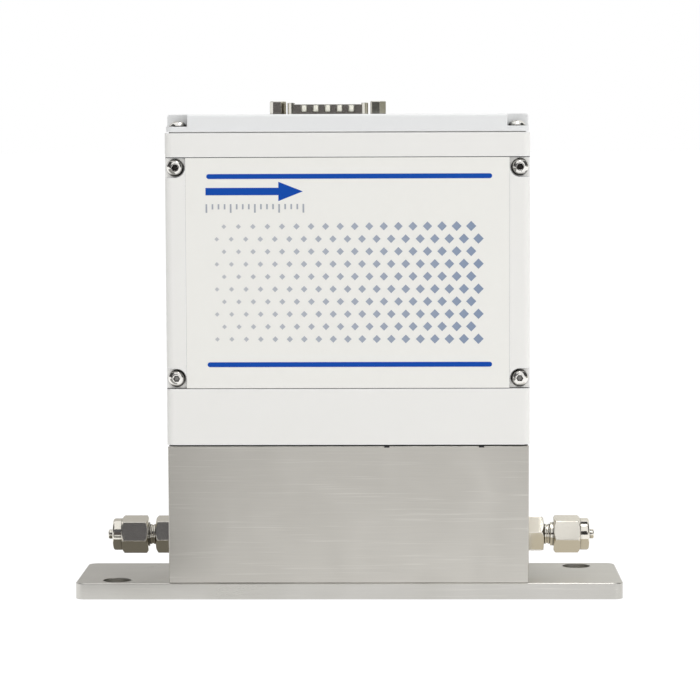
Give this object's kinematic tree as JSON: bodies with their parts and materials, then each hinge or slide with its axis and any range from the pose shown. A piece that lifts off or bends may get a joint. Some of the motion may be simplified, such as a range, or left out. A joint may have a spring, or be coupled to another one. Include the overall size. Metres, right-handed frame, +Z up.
{
  "type": "mass flow controller",
  "caption": "Gas mass flow controller: steel flow block on a base plate, tube fittings at both ends, and a white housing with a printed label, screws and a plug connector on top.",
  "frame": {"origin": "middle of the base plate's underside", "axes": "+X along the flow from inlet to outlet, +Y to the back, +Z up"},
  "size_m": [0.181, 0.0426, 0.1639],
  "materials": {
    "plate_steel": "satin, ground",
    "block_steel": "brushed along the flow",
    "fitting_steel": "turned, bright",
    "screw_steel": "polished",
    "housing_paint": "satin powder coat",
    "lid_paint": "satin powder coat",
    "label_film": "satin film",
    "blue_ink": "screen print",
    "grey_ink": "screen print",
    "slate_ink": "screen print",
    "connector_plate": "tin plated",
    "black_plastic": "moulded",
    "contact_brass": "plated",
    "board_laminate": "solder mask",
    "chip_plastic": "moulded",
    "copper_wire": "enamelled wire",
    "lead_cover": "insulation",
    "bracket_aluminium": "sheet",
    "yoke_zinc": "zinc plated",
    "seal_rubber": "moulded"
  },
  "bodies": {
    "controller": {"back_cover": "housing_paint", "base_plate": "plate_steel", "board_bracket": "bracket_aluminium", "board_capacitors": "bracket_aluminium", "board_chips": "chip_plastic", "board_link": "black_plastic", "board_screws": "screw_steel", "board_standoffs": "contact_brass", "bracket_screws": "screw_steel", "connector_board": "board_laminate", "connector_body": "black_plastic", "connector_pins": "contact_brass", "connector_shell": "connector_plate", "cover_gaskets": "seal_rubber", "cover_screws": "screw_steel", "flow_block": "block_steel", "frame_screws": "screw_steel", "front_cover": "housing_paint", "front_label": "label_film", "housing_frame": "housing_paint", "housing_seal": "seal_rubber", "inlet_filter": "fitting_steel", "inlet_fitting": "fitting_steel", "inlet_nut": "fitting_steel", "jackscrew_nuts": "connector_plate", "jackscrews": "connector_plate", "label_blue_print": "blue_ink", "label_pattern": "slate_ink", "label_ticks": "grey_ink", "laminar_flow_element": "fitting_steel", "lid_gasket": "seal_rubber", "lid_screws": "screw_steel", "main_board": "board_laminate", "outlet_fitting": "fitting_steel", "outlet_nut": "fitting_steel", "plate_screws": "screw_steel", "port_seals": "seal_rubber", "sensor_base": "block_steel", "sensor_can": "bracket_aluminium", "sensor_screws": "screw_steel", "sensor_seals": "seal_rubber", "sensor_tube": "fitting_steel", "sensor_windings": "copper_wire", "top_lid": "lid_paint", "tube_ferrules": "fitting_steel", "tube_stubs": "fitting_steel", "valve_bobbin": "black_plastic", "valve_bonnet": "block_steel", "valve_leads": "lead_cover", "valve_locknut": "fitting_steel", "valve_pole": "fitting_steel", "valve_screws": "screw_steel", "valve_seal": "seal_rubber", "valve_seat": "fitting_steel", "valve_spring": "fitting_steel", "valve_winding": "copper_wire", "valve_yoke": "yoke_zinc"},
    "plunger": {"valve_plunger": "fitting_steel", "valve_disc": "seal_rubber"}
  },
  "joints": [
    {"name": "valve_lift", "type": "slide", "parent": "controller", "child": "plunger", "axis": [0, 0, 1], "range_m": [0, 0.0005], "stiffness_N_per_m": 400, "springref_m": -0.002, "deforming": ["valve_spring"]}
  ]
}
